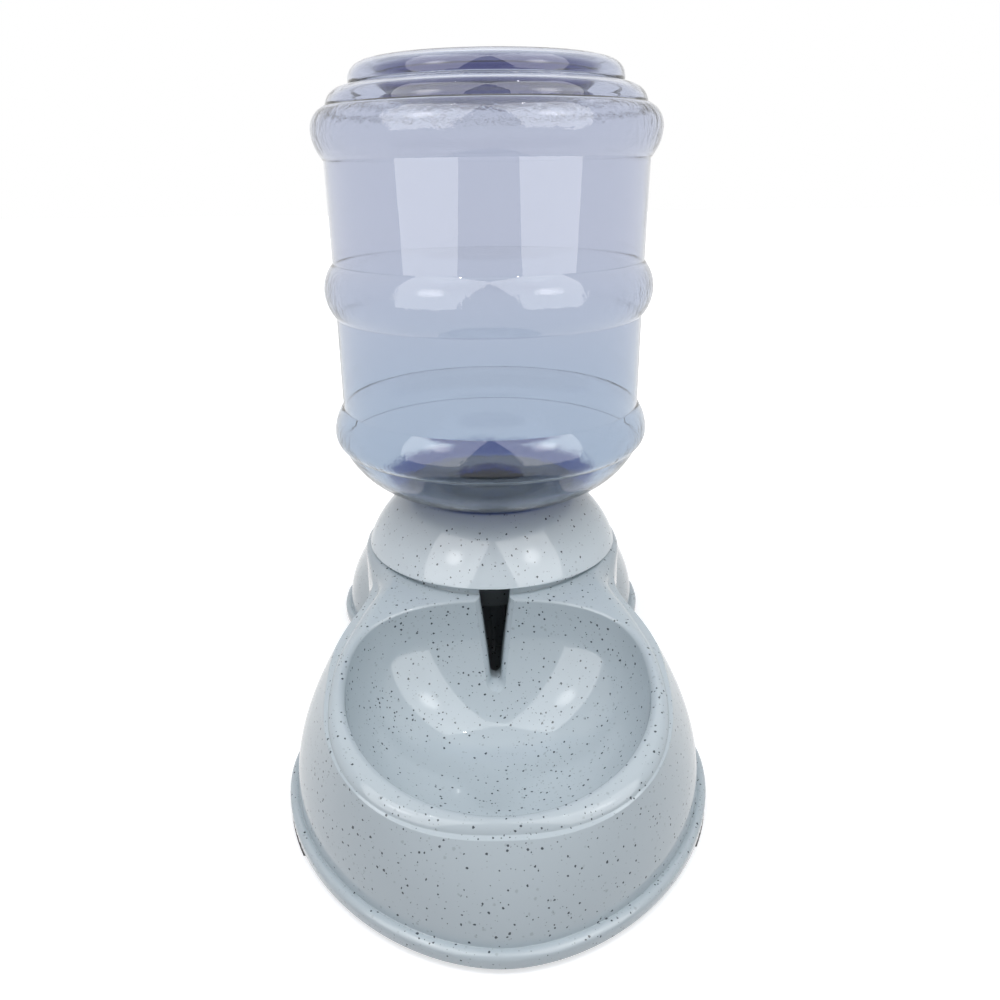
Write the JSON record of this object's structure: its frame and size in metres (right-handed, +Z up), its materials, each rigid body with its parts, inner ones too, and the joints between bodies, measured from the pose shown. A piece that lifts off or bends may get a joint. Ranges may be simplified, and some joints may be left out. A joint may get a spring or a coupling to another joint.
{
  "type": "gravity pet water dispenser",
  "caption": "Water dispenser for pets: a clear ribbed bottle stands neck down in a domed collar with a lift valve, on a one-piece base with a deep drinking bowl.",
  "frame": {"origin": "on the floor, at the middle of the base's length and width", "axes": "+Z up, -Y towards the bowl's end, +X to the right as seen from the bowl's end"},
  "size_m": [0.199, 0.318, 0.3234],
  "materials": {
    "speckled_plastic": "glossy, with fine dark speckles",
    "clear_bottle": "clear, tinted blue",
    "washer_rubber": "matt",
    "white_plastic": "satin",
    "spring_steel": "drawn wire",
    "black_rubber": "matt"
  },
  "bodies": {
    "root": {"base": "speckled_plastic", "collar": "speckled_plastic", "valve_cage": "white_plastic", "valve_spring": "spring_steel", "foot_front_left": "black_rubber", "foot_front_right": "black_rubber", "foot_rear_left": "black_rubber", "foot_rear_right": "black_rubber"},
    "valve": {"valve_stem": "white_plastic", "valve_seal": "black_rubber"},
    "neck_ring": {"neck_washer": "washer_rubber"},
    "bottle": {"bottle": "clear_bottle"}
  },
  "joints": [
    {"name": "valve_lift", "type": "slide", "parent": "root", "child": "valve", "axis": [0, 0, 1], "range_m": [0, 0.0025], "stiffness_N_per_m": 150, "springref_m": -0.006, "deforming": ["valve_spring"]},
    {"name": "bottle_rise", "type": "slide", "parent": "root", "child": "neck_ring", "axis": [0, 0, 1], "range_m": [0, 0.0075]},
    {"name": "bottle_turn", "type": "hinge", "parent": "neck_ring", "child": "bottle", "pos_m": [0, 0.0505, 0.1], "axis": [0, 0, 1], "range_deg": [0, 540]}
  ],
  "couplings": [
    {"joint": "bottle_rise", "follows": "bottle_turn", "m_per_rad": 0.00079577}
  ]
}
